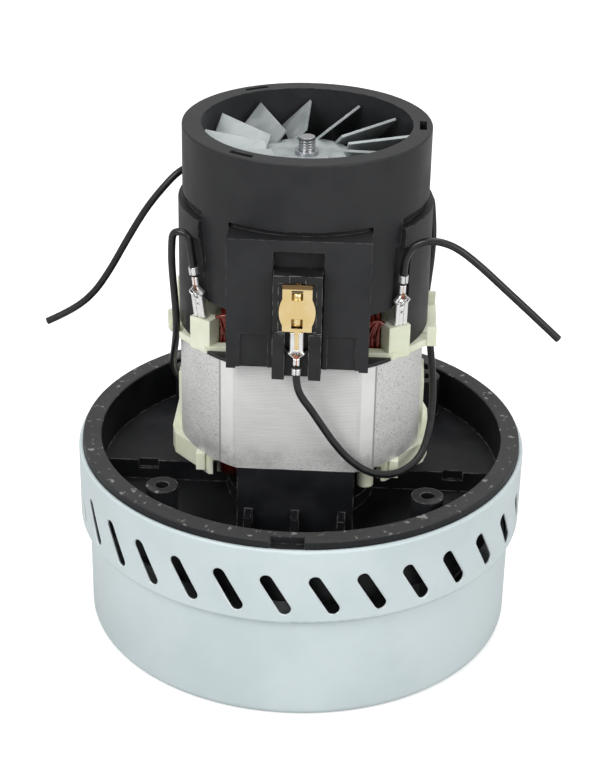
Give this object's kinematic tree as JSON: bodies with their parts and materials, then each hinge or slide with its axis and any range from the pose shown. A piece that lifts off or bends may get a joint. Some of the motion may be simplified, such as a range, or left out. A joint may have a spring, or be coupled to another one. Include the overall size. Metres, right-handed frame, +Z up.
{
  "type": "vacuum motor unit",
  "caption": "Two-stage bypass vacuum cleaner motor: stepped louvred steel fan case, black dish frame, exposed stator, brush gear, drum cowl with cooling fan and push-on wire leads",
  "frame": {"origin": "on the shaft axis at the base of the fan case, z = 0 is the face the unit stands on", "axes": "+Z up along the shaft, -Y towards the brush holder the picture shows in front, +X to the right seen from the front"},
  "size_m": [0.1647, 0.144, 0.168],
  "materials": {
    "enamel": "satin enamel",
    "black_moulding": "satin moulded",
    "black_holder": "matte moulded",
    "pale_nylon": "satin moulded",
    "lamination": "bare sheet edges",
    "sheet_aluminium": "mill finish",
    "zinc_sheet": "zinc plated",
    "zinc_screw": "zinc plated",
    "bearing_steel": "ground",
    "ball_steel": "polished",
    "shaft_steel": "ground",
    "spring_steel": "drawn wire",
    "enamelled_copper": "gloss red enamel over copper",
    "varnished_copper": "varnished",
    "commutator_copper": "turned",
    "dark_resin": "moulded resin",
    "brass_sheet": "pressed",
    "tinned_brass": "tinned",
    "carbon": "pressed carbon",
    "lead_insulation": "satin"
  },
  "bodies": {
    "motor": {"fan_case": "enamel", "return_guide": "sheet_aluminium", "stage_plate": "zinc_sheet", "motor_frame": "black_moulding", "lower_bearing_outer": "bearing_steel", "upper_bearing_outer": "bearing_steel", "bearing_retainer": "zinc_sheet", "retainer_screws": "zinc_screw", "stator_core": "lamination", "stator_frame_bottom": "pale_nylon", "stator_frame_top": "pale_nylon", "field_core_left": "enamelled_copper", "field_core_right": "enamelled_copper", "field_wire_left": "enamelled_copper", "field_wire_right": "enamelled_copper", "stator_screws": "zinc_screw", "upper_bracket": "black_moulding", "brush_holder_front": "black_holder", "brush_holder_back": "black_holder", "brush_tube_front": "brass_sheet", "brush_tube_back": "brass_sheet", "brush_cap_front": "brass_sheet", "brush_cap_back": "brass_sheet", "brush_spring_front": "spring_steel", "brush_spring_back": "spring_steel", "brush_terminal_front": "tinned_brass", "brush_terminal_back": "tinned_brass", "field_terminal_front_left": "tinned_brass", "field_terminal_front_right": "tinned_brass", "field_terminal_back_left": "tinned_brass", "field_terminal_back_right": "tinned_brass", "terminal_tabs": "tinned_brass", "supply_lead_right": "lead_insulation", "supply_lead_left": "lead_insulation", "brush_lead_front": "lead_insulation", "brush_lead_back": "lead_insulation"},
    "rotor": {"rotor_shaft": "shaft_steel", "armature_core": "lamination", "armature_winding": "varnished_copper", "commutator_hub": "dark_resin", "commutator_bars": "commutator_copper", "cooling_fan": "sheet_aluminium", "fan_nut": "zinc_screw", "fan_spacer": "shaft_steel", "lower_bearing_inner": "bearing_steel", "upper_bearing_inner": "bearing_steel", "first_impeller_disc": "sheet_aluminium", "first_impeller_blades": "sheet_aluminium", "first_impeller_shroud": "sheet_aluminium", "second_impeller_disc": "sheet_aluminium", "second_impeller_blades": "sheet_aluminium", "second_impeller_shroud": "sheet_aluminium", "impeller_spacers": "shaft_steel", "impeller_nut": "zinc_screw", "impeller_washers": "shaft_steel"},
    "lower_balls": {"lower_bearing_balls": "ball_steel"},
    "upper_balls": {"upper_bearing_balls": "ball_steel"},
    "front_brush": {"carbon_brush_front": "carbon"},
    "back_brush": {"carbon_brush_back": "carbon"}
  },
  "joints": [
    {"name": "rotor_spin", "type": "hinge", "parent": "motor", "child": "rotor", "pos_m": [0, 0, 0.08], "axis": [0, 0, 1], "continuous": true},
    {"name": "lower_ball_orbit", "type": "hinge", "parent": "motor", "child": "lower_balls", "pos_m": [0, 0, 0.0465], "axis": [0, 0, 1], "continuous": true},
    {"name": "upper_ball_orbit", "type": "hinge", "parent": "motor", "child": "upper_balls", "pos_m": [0, 0, 0.1439], "axis": [0, 0, 1], "continuous": true},
    {"name": "front_brush_slide", "type": "slide", "parent": "motor", "child": "front_brush", "axis": [0, -1, 0], "range_m": [0, 0.004], "stiffness_N_per_m": 60, "springref_m": -0.004, "deforming": ["brush_spring_front"]},
    {"name": "back_brush_slide", "type": "slide", "parent": "motor", "child": "back_brush", "axis": [0, 1, 0], "range_m": [0, 0.004], "stiffness_N_per_m": 60, "springref_m": -0.004, "deforming": ["brush_spring_back"]}
  ],
  "couplings": [
    {"joint": "lower_ball_orbit", "follows": "rotor_spin", "ratio": 0.381},
    {"joint": "upper_ball_orbit", "follows": "rotor_spin", "ratio": 0.368}
  ]
}
